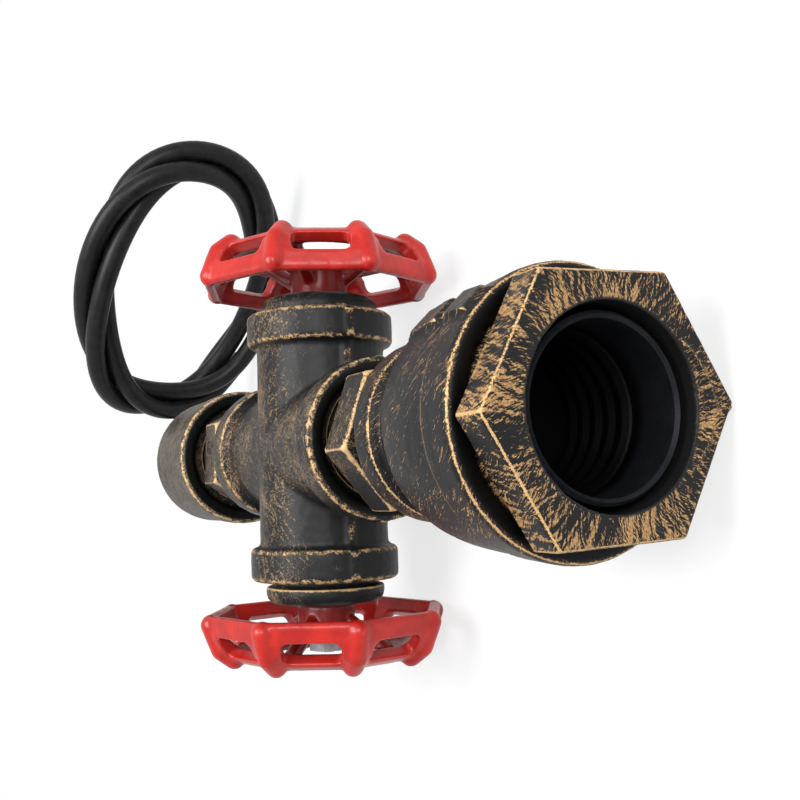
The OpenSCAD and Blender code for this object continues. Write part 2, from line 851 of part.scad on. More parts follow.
// What the cup is hollowed by: open at the edge, with a round opening in the flange at the narrow end
module eight_hollow() {
    mouth = cup_corner(0);
    eight_cup(wheel_wall, -cup_lift);
    translate([0, 0, mouth[1] - 2 * cup_lift])
        cylinder(h = cup_lift + eps, r = mouth[0] - wheel_wall, $fn = 8);
    translate([0, 0, wheel_end_x - 2 * cup_lift])
        cylinder(h = 3 * cup_lift, r = flange_bore_r);
}
// Rod between two points of the wheel's radial plane
module radial_rod(r, from, to) {
    run = to - from;
    translate([from[0], 0, from[1]])
        rotate([0, atan2(run[0], run[1]), 0])
            cylinder(h = norm(run), r = r, $fn = 24);
}
// Rounded ridge that follows one corner of the cup and stands up past its narrow end
module knuckle() {
    sink = [knuckle_proud - knuckle_r, 0];
    line = [cup_corner(1) + [0, knuckle_r / 2], cup_corner(3), cup_corner(4)];
    for (i = [0:len(line) - 2])
        radial_rod(knuckle_r, line[i] + sink, line[i + 1] + sink);
    for (p = line)
        translate([p[0] + sink[0], 0, p[1]])
            sphere(r = knuckle_r, $fn = 24);
}
// Slot with round corners through one flat side
module window() {
    cut = 2 * wheel_wall;
    side_l = window_l / 2 - window_round_r;
    side_w = window_w / 2 - window_round_r;
    x = wheel_edge_x + window_share * wheel_depth;
    rotate([0, 0, 22.5])
        translate([(corner_r - cup_drops[3]) * cos(22.5), 0, x])
            rotate([0, 90 - window_slope, 0])
                translate([0, 0, -cut]) {
                    for (u = [-side_w, side_w], v = [-side_l, side_l])
                        translate([u, v, 0])
                            cylinder(h = 2 * cut, r = window_round_r, $fn = 24);
                    translate([-window_w / 2, -side_l, 0])
                        cube([window_w, 2 * side_l, 2 * cut]);
                    translate([-side_w, -window_l / 2, 0])
                        cube([2 * side_w, window_l, 2 * cut]);
                }
}
module handwheel(side, turn) {
    spoke_foot = [hub_r - spoke_r / 2, hub_end_x - 2 * spoke_r];
    spoke_tip = [flange_bore_r + spoke_r, wheel_end_x - spoke_r];
    color(wheel_red) branch(side)
        rotate([0, 0, side * turn])
            difference() {
                union() {
                    difference() {
                        union() {
                            eight_cup(0, 0);
                            for (k = [0:7])
                                rotate([0, 0, 45 * k])
                                    knuckle();
                        }
                        eight_hollow();
                        for (k = [0:7])
                            rotate([0, 0, 45 * k])
                                window();
                    }
                    for (k = [0:spokes - 1])
                        rotate([0, 0, 45 + 360 * k / spokes])
                            radial_rod(spoke_r, spoke_foot, spoke_tip);
                    translate([0, 0, hub_x])
                        cylinder(h = hub_end_x - hub_x, r = hub_r);
                }
                translate([0, 0, hub_x - 1])
                    cylinder(h = square_x - hub_x + 1, r = stem_r + run_clear);
                translate([0, 0, (square_x + hub_end_x + 1) / 2])
                    cube([stem_sq + run_clear, stem_sq + run_clear, hub_end_x - square_x + 1], center = true);
            }
}
module right_handwheel() { handwheel(1, right_wheel_turn); }
module left_handwheel() { handwheel(-1, left_wheel_turn); }

// Stem: inner collar, round run through the plug, square for the wheel, screwed tip
module stem(side, turn) {
    tip_x = hub_end_x + washer_t + nut_h + tip_spare;
    collar_x = stem_in_x - end_play - washer_t - collar_t;
    color(steel) branch(side)
        rotate([0, 0, side * turn]) {
            translate([0, 0, collar_x])
                cylinder(h = collar_t, r = collar_r);
            translate([0, 0, collar_x])
                cylinder(h = square_x - collar_x, r = stem_r);
            translate([-stem_sq / 2, -stem_sq / 2, square_x - eps])
                cube([stem_sq, stem_sq, hub_end_x - square_x + eps]);
            translate([0, 0, hub_end_x - eps])
                cylinder(h = tip_x - hub_end_x + eps, r = tip_r);
        }
}
module right_stem() { stem(1, right_wheel_turn); }
module left_stem() { stem(-1, left_wheel_turn); }

module thrust_washer(side) {
    color(brass) branch(side)
        translate([0, 0, stem_in_x - end_play - washer_t])
            difference() {
                cylinder(h = washer_t, r = collar_r + 0.8);
                translate([0, 0, -1])
                    cylinder(h = washer_t + 2, r = stem_r + run_clear);
            }
}
module right_thrust_washer() { thrust_washer(1); }
module left_thrust_washer() { thrust_washer(-1); }

module wheel_washer(side) {
    color(steel) branch(side)
        translate([0, 0, hub_end_x])
            difference() {
                cylinder(h = washer_t, r = hub_r - 1);
                translate([0, 0, -1])
                    cylinder(h = washer_t + 2, r = tip_r + thread_clear);
            }
}
module right_wheel_washer() { wheel_washer(1); }
module left_wheel_washer() { wheel_washer(-1); }

module wheel_nut(side) {
    color(steel) branch(side)
        translate([0, 0, hub_end_x + washer_t])
            difference() {
                cylinder(h = nut_h, r = wheel_nut_af / sqrt(3), $fn = 6);
                translate([0, 0, -1])
                    cylinder(h = nut_h + 2, r = tip_r + thread_clear);
            }
}
module right_wheel_nut() { wheel_nut(1); }
module left_wheel_nut() { wheel_nut(-1); }

module cord_lead() {
    color(rubber)
        sweep(lead_path, cord_d / 2, lead_sides, [0, 0, 1]);
}
module cord_coil() {
    color(rubber)
        sweep(coil_path, cord_d / 2, coil_sides, [0, 1, 0]);
}

// Cores that stand out of the cut end of the cord
tail_len = 5;
ferrule_len = 3;
tail_off = 1.5;
module tail(k, offset, length, r) {
    u = side_axis(coil_out_dir, [0, 1, 0]);
    v = cross(coil_out_dir, u);
    centre = coil_out + tail_off * (cos(120 * k) * u + sin(120 * k) * v);
    sweep([centre + offset * coil_out_dir, centre + (offset + length) * coil_out_dir], r, 12, [0, 1, 0]);
}
module brown_tail() {
    color("saddlebrown")
        tail(0, 0, tail_len, core_d / 2);
}
module blue_tail() {
    color("royalblue")
        tail(1, 0, tail_len, core_d / 2);
}
module earth_tail() {
    color("yellowgreen")
        tail(2, 0, tail_len, core_d / 2);
}
module core_ferrules() {
    color(steel)
        for (k = [0:2])
            tail(k, tail_len, ferrule_len, core_d / 2 - 0.3);
}

hex_bushing();
bell_reducer();
front_nipple();
pipe_cross();
rear_nipple();
cord_cap();
lampholder_shell();
lampholder_base();
lampholder_cap();
centre_contact();
side_contact();
terminal_blocks();
terminal_screws();
holder_tube();
carrier_disc();
earth_tag();
holder_lock_nut();
live_wire();
neutral_wire();
earth_wire();
cord_collar();
strain_relief();
right_plug();
left_plug();
right_packing();
left_packing();
right_handwheel();
left_handwheel();
right_stem();
left_stem();
right_thrust_washer();
left_thrust_washer();
right_wheel_washer();
left_wheel_washer();
right_wheel_nut();
left_wheel_nut();
cord_lead();
cord_coil();
brown_tail();
blue_tail();
earth_tail();
core_ferrules();
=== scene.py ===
import math

import bmesh
import bpy
import numpy as np
from mathutils import Matrix, Vector, noise


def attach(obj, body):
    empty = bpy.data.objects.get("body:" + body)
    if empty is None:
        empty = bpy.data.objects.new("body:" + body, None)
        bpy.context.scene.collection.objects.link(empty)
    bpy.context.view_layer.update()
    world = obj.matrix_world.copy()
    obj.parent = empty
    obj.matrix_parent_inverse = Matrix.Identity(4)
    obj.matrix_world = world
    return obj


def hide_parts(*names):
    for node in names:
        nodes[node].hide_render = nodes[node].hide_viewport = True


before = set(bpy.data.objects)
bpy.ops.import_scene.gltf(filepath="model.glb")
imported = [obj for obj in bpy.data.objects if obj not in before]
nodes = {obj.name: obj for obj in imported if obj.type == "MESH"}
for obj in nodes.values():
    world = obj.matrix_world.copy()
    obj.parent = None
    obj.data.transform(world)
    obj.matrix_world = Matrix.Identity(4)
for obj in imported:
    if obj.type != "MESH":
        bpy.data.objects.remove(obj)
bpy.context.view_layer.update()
scene = bpy.context.scene
mm = 0.001
print("frame loaded,", len(nodes), "nodes")

# how the lamp lies on its wheels and its mouth
lampPose = {
    "tilt": 3.401613,
    "axisY": 3.491275,
    "axisZ": 31.6,
    "crossStation": 115.3,
}
tilt = math.radians(lampPose["tilt"])
laid = (
    Matrix.Translation((0, lampPose["axisY"] * mm, lampPose["axisZ"] * mm))
    @ Matrix.Rotation(tilt - math.pi / 2, 4, "X")
    @ Matrix.Translation((0, 0, -lampPose["crossStation"] * mm))
)
unlaid = laid.inverted()


def onAxis(station):
    return laid @ Vector((0, 0, station * mm))


# a socket that can be written in sums
class Wire:
    def __init__(self, bench, socket):
        self.bench = bench
        self.socket = socket

    def __add__(self, other):
        return self.bench.maths("ADD", self, other)

    __radd__ = __add__

    def __mul__(self, other):
        return self.bench.maths("MULTIPLY", self, other)

    __rmul__ = __mul__

    def __sub__(self, other):
        return self.bench.maths("SUBTRACT", self, other)

    def __rsub__(self, other):
        return self.bench.maths("SUBTRACT", other, self)

    def __truediv__(self, other):
        return self.bench.maths("DIVIDE", self, other)

    def __rtruediv__(self, other):
        return self.bench.maths("DIVIDE", other, self)

    def __pow__(self, other):
        return self.bench.maths("POWER", self, other)

    def __rpow__(self, other):
        return self.bench.maths("POWER", other, self)


# a node tree to build on, for shaders and for geometry
class Bench:
    def __init__(self, tree):
        self.tree = tree

    def node(self, kind, settings=None, sockets=None, out=0):
        made = self.tree.nodes.new(kind)
        for key, value in (settings or {}).items():
            setattr(made, key, value)
        for key, value in (sockets or {}).items():
            if isinstance(value, Wire):
                self.tree.links.new(value.socket, made.inputs[key])
            else:
                made.inputs[key].default_value = value
        return Wire(self, made.outputs[out])

    def maths(self, operation, *values):
        return self.node("ShaderNodeMath", {"operation": operation}, dict(enumerate(values)))


class Paint(Bench):
    def __init__(self, name, **fixed):
        self.material = bpy.data.materials.new(name)
        self.material.use_nodes = True
        super().__init__(self.material.node_tree)
        self.shader = self.tree.nodes["Principled BSDF"]
        for key, value in fixed.items():
            self.shader.inputs[key].default_value = value

    def set(self, **links):
        for key, wire in links.items():
            name = {"BaseColor": "Base Color"}.get(key, key)
            self.tree.links.new(wire.socket, self.shader.inputs[name])

    def place(self):  # millimetres
        return self.node("ShaderNodeMapping", None, {
            "Vector": self.node("ShaderNodeTexCoord", out="Object"),
            "Scale": (1 / mm, 1 / mm, 1 / mm),
        })

    def lampPlace(self):  # millimetres, with the lamp axis along z
        return self.node("ShaderNodeMapping", None, {
            "Vector": self.node("ShaderNodeTexCoord", out="Object"),
            "Location": tuple(v / mm for v in unlaid.translation),
            "Rotation": tuple(unlaid.to_euler()),
            "Scale": (1 / mm, 1 / mm, 1 / mm),
        })

    def split(self, vector):
        return [self.node("ShaderNodeSeparateXYZ", None, {0: vector}, k) for k in range(3)]

    def join(self, x, y, z):
        return self.node("ShaderNodeCombineXYZ", None, {0: x, 1: y, 2: z})

    def speckle(self, vector, scale, detail, rough=0.55, warp=0):
        return self.node("ShaderNodeTexNoise", None, {
            "Vector": vector, "Scale": scale, "Detail": detail, "Roughness": rough, "Distortion": warp,
        })

    def between(self, value, low, high):
        return self.node("ShaderNodeMapRange", {"interpolation_type": "SMOOTHSTEP"}, {
            "Value": value, "From Min": low, "From Max": high,
        })

    def above(self, value, low, soft):
        return self.between(value, low, low + soft)

    def blend(self, factor, first, second):
        return self.node("ShaderNodeMix", {"data_type": "RGBA"}, {0: factor, 6: first, 7: second}, 2)

    def bump(self, height, distance, strength):
        return self.node("ShaderNodeBump", None, {
            "Height": height, "Distance": distance * mm, "Strength": strength,
        })

    def rub(self):
        return self.node("ShaderNodeAttribute", {"attribute_name": "edgeRub"}, out="Fac")


def rgb(red, green, blue):
    return (red, green, blue, 1.0)


midTones = (0.3, 0.7)  # where most values of a noise lie

# black enamel rubbed with gold: noises as scale, detail, roughness and warp, lengths in millimetres
goldRub = {
    "swayNoise": (0.22, 2), "stainNoise": (0.16, 3),
    "patchNoise": (0.1, 3, 0.5, 0.4), "fleckNoise": (2.6, 3, 0.62, 0.6),
    # the band on the upward side where gold is painted in as top light, in millimetres from the axis
    "axisGuard": 0.01, "strokeShift": 50, "paintedTopLightSide": (6, 16),
    "withinSoft": 0.5, "beforeSoft": 0.8, "rimSoft": 0.4,
    "edgeBreak": 0.9, "edgeSoft": 0.35, "edgeShine": 0.7,
    "goldLow": (0.21, 0.11, 0.042), "goldHigh": (0.44, 0.27, 0.12),
    "goldTan": (0.27, 0.215, 0.15), "goldEdge": (0.58, 0.38, 0.18),
    # the last of these blacks is painted shade, for the faces between two fittings
    "blackLow": (0.004, 0.004, 0.0045), "blackHigh": (0.012, 0.012, 0.0125), "paintedRecessShade": (0.001, 0.001, 0.001),
    "maroon": (0.06, 0.012, 0.011), "maroonSides": (0.35, 0.9), "maroonStain": (0.38, 0.6),
    "rough": 0.35, "goldRough": 0.15, "fleckRough": 0.12, "goldMetal": 0.35,
    "goldLift": 0.5, "fleckLift": 0.5, "strokeLift": 0.6, "relief": 0.1, "reliefShare": 0.5,
}


def metalPaint(name, look):
    mix = goldRub
    paint = Paint(name, **{"Specular IOR Level": look["gloss"]})
    place = paint.lampPlace()
    x, y, z = paint.split(place)
    reach = (x * x + y * y + mix["axisGuard"]) ** 0.5
    run = z + reach
    sway = (paint.speckle(place, *mix["swayNoise"]) - 0.5) * look["sway"]
    angle = paint.maths("ARCTAN2", y, x) + sway
    brushed = 0.0
    for lean, coarse in ((look["twist"], 1.0), (look["cross"] * look["twist"], look["coarse"])):
        turned = angle + run * lean
        across = [paint.maths(wave, turned) * (look["across"] * coarse) for wave in ("COSINE", "SINE")]
        along = run * (look["along"] * coarse) + mix["strokeShift"] * lean
        strokes = paint.speckle(paint.join(*across, along), 1, *look["bristle"])
        brushed = brushed + 0.5 * strokes
    patches = paint.speckle(place, *mix["patchNoise"])
    flecks = paint.speckle(place, *mix["fleckNoise"])
    # painted top light: the upward side, facing the top lamp, takes more gold
    paintedTopGold = paint.between(0 - y, *mix["paintedTopLightSide"]) * look["paintedTopLightShare"]

    # bores, recesses and the faces between two fittings stay black, without gold; the faces between two
    # fittings are painted darker still, as shade
    outside = paint.above(reach, look["blackWithin"], mix["withinSoft"])
    behind = paint.above(z, look["blackBefore"], mix["beforeSoft"])
    rimOnly = paint.above(reach, look["rimFrom"], mix["rimSoft"])
    outsidePaintedShade = paint.maths("MAXIMUM", behind, rimOnly)

    # the gold strokes, patches and flecks, with the painted top light added
    wearAndPaintedLight = brushed + (patches - 0.5) * look["patchy"] + (flecks - 0.5) * look["fleck"] + paintedTopGold
    rub = paint.above(paint.rub() + (flecks - 0.5) * mix["edgeBreak"], look["rubFrom"], mix["edgeSoft"])
    strokeGold = paint.above(wearAndPaintedLight, look["start"], look["soft"])
    gold = paint.maths("MAXIMUM", strokeGold * look["strength"], rub) * outside * outsidePaintedShade
    goldTone = paint.blend(paint.between(flecks, *midTones), rgb(*mix["goldLow"]), rgb(*mix["goldHigh"]))
    goldTone = paint.blend(look["tan"], goldTone, rgb(*mix["goldTan"]))
    goldTone = paint.blend(rub * mix["edgeShine"], goldTone, rgb(*mix["goldEdge"]))
    blackTone = paint.blend(patches, rgb(*mix["blackLow"]), rgb(*mix["blackHigh"]))
    # painted shade: the faces between two fittings turn near black
    blackTone = paint.blend(outsidePaintedShade, rgb(*mix["paintedRecessShade"]), blackTone)
    sides = paint.between(x * x / (reach * reach), *mix["maroonSides"])
    stain = paint.between(paint.speckle(place, *mix["stainNoise"]), *mix["maroonStain"])
    blackTone = paint.blend(sides * stain * outsidePaintedShade * look["maroon"], blackTone, rgb(*mix["maroon"]))
    lift = gold * mix["goldLift"] + flecks * mix["fleckLift"] + brushed * mix["strokeLift"]
    paint.set(
        BaseColor=paint.blend(gold, blackTone, goldTone),
        Roughness=mix["rough"] + gold * mix["goldRough"] + flecks * mix["fleckRough"],
        Metallic=gold * mix["goldMetal"],
        Normal=paint.bump(lift, mix["relief"], mix["reliefShare"]),
    )
    return paint.material


# strokes: their slant, fineness and spread; the upward side takes more gold as painted top light; black:
# inside a radius, or before a station within a rim, where it is also painted darker as shade
metalLooks = {
    "mouth": {
        "twist": 0.02, "cross": -0.6, "coarse": 0.42, "across": 84.0, "along": 0.4,
        "bristle": (2, 0.55, 0.0), "sway": 0.12, "patchy": 0.36, "fleck": 0.2,
        "start": 0.5, "soft": 0.07, "strength": 1.0, "rubFrom": 0.64,
        "paintedTopLightShare": 0.0, "tan": 0.0, "maroon": 0.0, "gloss": 0.16,
        "blackWithin": 16.8, "blackBefore": -9.0, "rimFrom": 0.0,
    },
    "bell": {
        "twist": 0.05, "cross": 0.5, "coarse": 1.0, "across": 75.0, "along": 0.35,
        "bristle": (2, 0.5, 0.0), "sway": 0.1, "patchy": 0.22, "fleck": 0.14,
        "start": 0.59, "soft": 0.05, "strength": 0.95, "rubFrom": 0.62,
        "paintedTopLightShare": 0.0, "tan": 0.0, "maroon": 0.3, "gloss": 0.13,
        "blackWithin": 12.0, "blackBefore": 10.0, "rimFrom": 23.8,
    },
    "body": {
        "twist": 0.03, "cross": -0.5, "coarse": 1.0, "across": 34.0, "along": 0.5,
        "bristle": (4, 0.68, 0.5), "sway": 0.6, "patchy": 0.22, "fleck": 0.32,
        "start": 0.635, "soft": 0.14, "strength": 0.62, "rubFrom": 0.45,
        "paintedTopLightShare": 0.15, "tan": 0.45, "maroon": 0.0, "gloss": 0.16,
        "blackWithin": 2.0, "blackBefore": 80.4, "rimFrom": 17.2,
    },
    "rear": {
        "twist": 0.02, "cross": -0.5, "coarse": 1.0, "across": 36.0, "along": 0.5,
        "bristle": (4, 0.68, 0.5), "sway": 0.6, "patchy": 0.2, "fleck": 0.45,
        "start": 0.44, "soft": 0.26, "strength": 0.5, "rubFrom": 0.5,
        "paintedTopLightShare": 0.04, "tan": 0.8, "maroon": 0.0, "gloss": 0.14,
        "blackWithin": 2.0, "blackBefore": 176.4, "rimFrom": 19.0,
    },
}
bareThread = {"blackWithin": 13.7, "blackBefore": 0.0}  # between two fittings
for name in ("body", "rear"):
    metalLooks[f"{name}Thread"] = {**metalLooks[name], **bareThread}

redLook = {
    # the edge colour is a painted pink highlight on the proud edges
    "deep": (0.29, 0.008, 0.005), "bright": (0.4, 0.014, 0.009), "edge": (0.6, 0.11, 0.09),
    # inside the rim radii the hub and spokes are painted darker, as shade
    "inside": (0.14, 0.004, 0.003), "rimFrom": (14, 27),
    "gloss": 0.25, "coat": 0.15, "coatRough": 0.16, "rough": 0.3, "lumpRough": 0.14,
    "lumpNoise": (0.2, 3), "grainNoise": (1.6, 3),
    "edgeBreak": 0.3, "edgeRange": (0.7, 1.3), "edgeShine": 0.35,
    "lumpLift": 0.8, "grainLift": 0.12, "relief": 0.25, "reliefShare": 0.3,
}


def redPaint(name, look):
    paint = Paint(name, **{
        "Specular IOR Level": look["gloss"],
        "Coat Weight": look["coat"],
        "Coat Roughness": look["coatRough"],
    })
    place = paint.place()
    lumps = paint.speckle(place, *look["lumpNoise"])
    grain = paint.speckle(place, *look["grainNoise"])
    tone = paint.blend(paint.between(lumps, *midTones), rgb(*look["deep"]), rgb(*look["bright"]))
    _, y, z = paint.split(paint.lampPlace())
    along = z - lampPose["crossStation"]
    reach = (y * y + along * along) ** 0.5  # from the wheel's axis
    # painted shade: the hub and spokes, near the wheel's axis, turn darker
    tone = paint.blend(paint.between(reach, *look["rimFrom"]), rgb(*look["inside"]), tone)
    # painted highlight: the proud edges turn a lighter pink
    wearAndPaintedLight = paint.between(paint.rub() + grain * look["edgeBreak"], *look["edgeRange"])
    paint.set(
        BaseColor=paint.blend(wearAndPaintedLight * look["edgeShine"], tone, rgb(*look["edge"])),
        Roughness=look["rough"] + lumps * look["lumpRough"],
        Normal=paint.bump(
            lumps * look["lumpLift"] + grain * look["grainLift"], look["relief"], look["reliefShare"],
        ),
    )
    return paint.material


# what a plain finish has unless its own look says otherwise
plainMix = {
    "metallic": 0.0, "gloss": 0.5, "scale": 0.4, "cloudDetail": 4, "cloudRough": 0.12,
    "grainFiner": 7, "grainDetail": 3,
    # the last tone is painted shade, pitch black deep in the lampholder
    "relief": 0.04, "reliefShare": 0.4, "pitTone": (0.0008, 0.0008, 0.001),
}
plainLooks = {
    "holder": {
        "low": (0.006, 0.0065, 0.008), "high": (0.009, 0.0095, 0.012),
        # deep in the holder the colour is painted pitch black, as shade
        "rough": 0.42, "gloss": 0.09, "pit": (9, 12),  # the stations where it turns pitch black
    },
    "brass": {"low": (0.3, 0.19, 0.06), "high": (0.42, 0.29, 0.11), "rough": 0.38, "metallic": 1.0},
    "steel": {"low": (0.3, 0.3, 0.31), "high": (0.44, 0.44, 0.45), "rough": 0.36, "metallic": 1.0},
    "rubber": {
        "low": (0.005, 0.005, 0.0055), "high": (0.01, 0.01, 0.011),
        "rough": 0.38, "gloss": 0.16, "scale": 0.3,
    },
    "brown": {"low": (0.16, 0.06, 0.02), "high": (0.24, 0.1, 0.04), "rough": 0.35},
    "blue": {"low": (0.03, 0.1, 0.38), "high": (0.06, 0.17, 0.5), "rough": 0.35},
    "earth": {"low": (0.2, 0.4, 0.03), "high": (0.5, 0.55, 0.05), "rough": 0.35, "scale": 0.8},
    "felt": {"low": (0.14, 0.13, 0.12), "high": (0.24, 0.23, 0.21), "rough": 0.85},
}


def plainPaint(name, look):
    mix = {**plainMix, **look}
    paint = Paint(name, **{"Metallic": mix["metallic"], "Specular IOR Level": mix["gloss"]})
    place = paint.place()
    cloud = paint.speckle(place, mix["scale"], mix["cloudDetail"])
    grain = paint.speckle(place, mix["scale"] * mix["grainFiner"], mix["grainDetail"])
    tone = paint.blend(paint.between(cloud, *midTones), rgb(*mix["low"]), rgb(*mix["high"]))
    # painted shade: pitch black deep in the holder
    if "pit" in mix:
        depth = paint.split(paint.lampPlace())[2]
        tone = paint.blend(paint.between(depth, *mix["pit"]), tone, rgb(*mix["pitTone"]))
    paint.set(
        BaseColor=tone,
        Roughness=mix["rough"] - mix["cloudRough"] / 2 + cloud * mix["cloudRough"],
        Normal=paint.bump(grain, mix["relief"], mix["reliefShare"]),
    )
    return paint.material


finishes = {name: metalPaint(f"{name}Metal", look) for name, look in metalLooks.items()}
finishes.update({name: plainPaint(f"{name}Plain", look) for name, look in plainLooks.items()})
finishes["red"] = redPaint("wheelRed", redLook)
print("finishes ready")


def meshArrays(mesh):
    spots = np.zeros(len(mesh.vertices) * 3)
    mesh.vertices.foreach_get("co", spots)
    edges = np.zeros(len(mesh.edges) * 2, np.int32)
    mesh.edges.foreach_get("vertices", edges)
    return spots.reshape(-1, 3), edges.reshape(-1, 2)


def moveSpots(mesh, spots):
    mesh.vertices.foreach_set("co", spots.ravel())
    mesh.update()


def pointNormals(mesh):
    normals = np.zeros(len(mesh.vertices) * 3)
    mesh.vertices.foreach_get("normal", normals)
    return normals.reshape(-1, 3)


# each round takes every point half way to the middle of its neighbours
def relax(spots, edges, rounds):
    count = np.bincount(edges.ravel(), minlength=len(spots)).clip(1)
    a, b = edges.T
    for _ in range(rounds):
        moved = np.empty_like(spots)
        for k in range(3):
            moved[:, k] = np.bincount(a, spots[b, k], len(spots)) + np.bincount(b, spots[a, k], len(spots))
        spots = 0.5 * spots + 0.5 * moved / count[:, None]
    return spots


edgeEnd = 1.5  # line widths from an edge to where its rub has faded out


# full within half a line's width of an edge
def edgeShare(near, line):
    return np.clip(edgeEnd - near / line, 0, 1)


# the rims, corners and bore of a hexagon
def hexEdges(spots, flats):
    turn = math.radians(flats["turn"])
    x = spots[:, 0] * math.cos(turn) + spots[:, 1] * math.sin(turn)
    y = spots[:, 1] * math.cos(turn) - spots[:, 0] * math.sin(turn)
    z = spots[:, 2]
    slant = math.sqrt(0.75) * y
    tilted = [np.abs(x), np.abs(0.5 * x + slant), np.abs(0.5 * x - slant)]
    reach = np.max(tilted, 0)
    corner = np.min(tilted, 0)
    rim = np.abs(z - flats["bevel"] / 2) + np.abs(flats["half"] - flats["bevel"] / 2 - reach)
    rear = np.abs(z - flats["thick"]) + np.abs(flats["half"] - reach)
    side = np.where(reach > flats["half"] - flats["line"], corner, flats["half"])
    ring = np.abs(z) + np.abs(np.hypot(x, y) - flats["bore"]) + flats["ringFaint"]
    return edgeShare(np.min([rim, rear, side, ring], 0), flats["line"])


# the rings of a turned casting, given as station and radius
def ringEdges(spots, rings, line):
    reach = np.hypot(spots[:, 0], spots[:, 1])
    near = [np.abs(spots[:, 2] - station) + np.abs(reach - radius) for station, radius in rings]
    return edgeShare(np.min(near, 0), line)


# a raised Y on the front of the hexagon, from a corner round the mouth
def raiseCorner(mesh, ridge):
    spots, _ = meshArrays(mesh)
    x, y, z = spots.T / mm
    reach = np.hypot(x, y)
    turn = np.degrees(np.abs(np.arctan2(x, y)))
    stem = np.where((reach > ridge["fork"]) & (y > 0), np.abs(x), ridge["fork"])
    bow = ridge["fork"] - ridge["drop"] * turn / ridge["spread"]
    arc = np.where(turn < ridge["spread"], np.abs(reach - bow), ridge["fork"])
    near = np.minimum(stem, arc) / ridge["width"]
    crest = np.exp(-near**2) * (z < z.min() + ridge["skin"])
    spots[:, 2] -= crest * ridge["height"] * mm
    moveSpots(mesh, spots)
    return crest


# where the paint is rubbed through to gold, kept on the mesh for its finish
def markEdges(mesh, cast):
    spots, edges = meshArrays(mesh)
    if "flats" in cast:
        proud = hexEdges(spots / mm, cast["flats"])
        proud = np.maximum(proud, cast["ridge"]["rub"] * raiseCorner(mesh, cast["ridge"]))
    else:
        proud = ((spots - relax(spots, edges, cast["rubRounds"])) * pointNormals(mesh)).sum(1)
        proud = np.clip(proud / np.quantile(proud, cast["sharpest"]), 0, 1)
    if "rings" in cast:
        proud = np.maximum(proud, ringEdges(spots / mm, cast["rings"], cast["ringLine"]))
    layer = mesh.attributes.new("edgeRub", "FLOAT", "POINT")
    layer.data.foreach_set("value", proud.astype(np.float32))


grainLook = {"size": 2.0, "fineShare": 0.4, "fineSize": 0.3}


def castGrain(mesh, depth):
    coarse = grainLook["size"] * mm
    fine = grainLook["fineSize"] * coarse
    spots, _ = meshArrays(mesh)
    lift = []
    for spot in map(Vector, spots):
        lift.append(noise.noise(spot / coarse) + grainLook["fineShare"] * noise.noise(spot / fine))
    spots += pointNormals(mesh) * (np.array(lift) * depth * mm)[:, None]
    moveSpots(mesh, spots)


def finished(name, mesh, finish, body, replaced):
    piece = bpy.data.objects.new(name, mesh)
    scene.collection.objects.link(piece)
    mesh.materials.clear()
    mesh.materials.append(finish)
    mesh.polygons.foreach_set("use_smooth", [True] * len(mesh.polygons))
    mesh.update()
    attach(piece, body)
    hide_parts(*replaced)
    return piece


# the plain mesh of an object with its modifiers, which is then taken away
def takeMesh(holder):
    made = bpy.data.meshes.new_from_object(holder.evaluated_get(bpy.context.evaluated_depsgraph_get()))
    bpy.data.objects.remove(holder)
    return made


mergeGap = 0.002 * mm


# a softened copy of a solid, as it comes out of the mould
def castCopy(node, name, finish, body, cast):
    mesh = nodes[node].data.copy()
    mesh.transform(unlaid)
    work = bmesh.new()
    work.from_mesh(mesh)
    bmesh.ops.remove_doubles(work, verts=work.verts, dist=mergeGap)
    work.to_mesh(mesh)
    work.free()
    holder = bpy.data.objects.new("castWork", mesh)
    scene.collection.objects.link(holder)
    skin = holder.modifiers.new("skin", "REMESH")
    skin.mode = "VOXEL"
    skin.voxel_size = cast["voxel"] * mm
    made = takeMesh(holder)
    spots, edges = meshArrays(made)
    moveSpots(made, relax(spots, edges, cast["ease"]))
    castGrain(made, cast["grain"])
    markEdges(made, cast)
    made.transform(laid)
    finished(name, made, finish, body, [node])
    print(name, len(made.polygons), "faces")


# by node: the piece, its finish, and how it is cast, in millimetres and rounds of softening
nippleCast = {"voxel": 0.38, "ease": 2, "grain": 0.03, "rubRounds": 5, "sharpest": 0.95}
plugCast = {"voxel": 0.4, "ease": 3, "grain": 0.05, "rubRounds": 5, "sharpest": 0.99}
castings = {
    "hex_bushing": ("mouthBushing", "mouth", {
        "voxel": 0.34, "ease": 1, "grain": 0.03,
        "flats": {
            "half": 21.5, "thick": 7.4, "bevel": 0.6, "turn": -2.5,
            "bore": 17.3, "ringFaint": 0.3, "line": 0.45,
        },
        "ridge": {
            "fork": 20.5, "drop": 3.0, "spread": 38, "width": 0.45, "height": 0.45, "skin": 0.4, "rub": 0.8,
        },
    }),
    "bell_reducer": ("bell", "bell", {
        "voxel": 0.45, "ease": 2, "grain": 0.05, "rubRounds": 4, "sharpest": 0.993,
        "rings": ((9.5, 24.6), (18.2, 24.4), (50.3, 18.3), (56.3, 18.3)), "ringLine": 0.4,
    }),
    "front_nipple": ("frontNipple", "bodyThread", nippleCast),
    "pipe_cross": ("pipeCross", "body", {
        "voxel": 0.54, "ease": 2, "grain": 0.07, "rubRounds": 5, "sharpest": 0.99,
    }),
    "rear_nipple": ("rearNipple", "rearThread", nippleCast),
    "cord_cap": ("cordCap", "rear", {
        "voxel": 0.45, "ease": 4, "grain": 0.06, "rubRounds": 6, "sharpest": 0.99,
    }),
    "right_plug": ("rightPlug", "body", plugCast),
    "left_plug": ("leftPlug", "body", plugCast),
}
for node, (name, look, cast) in castings.items():
    castCopy(node, name, finishes[look], "lamp", cast)

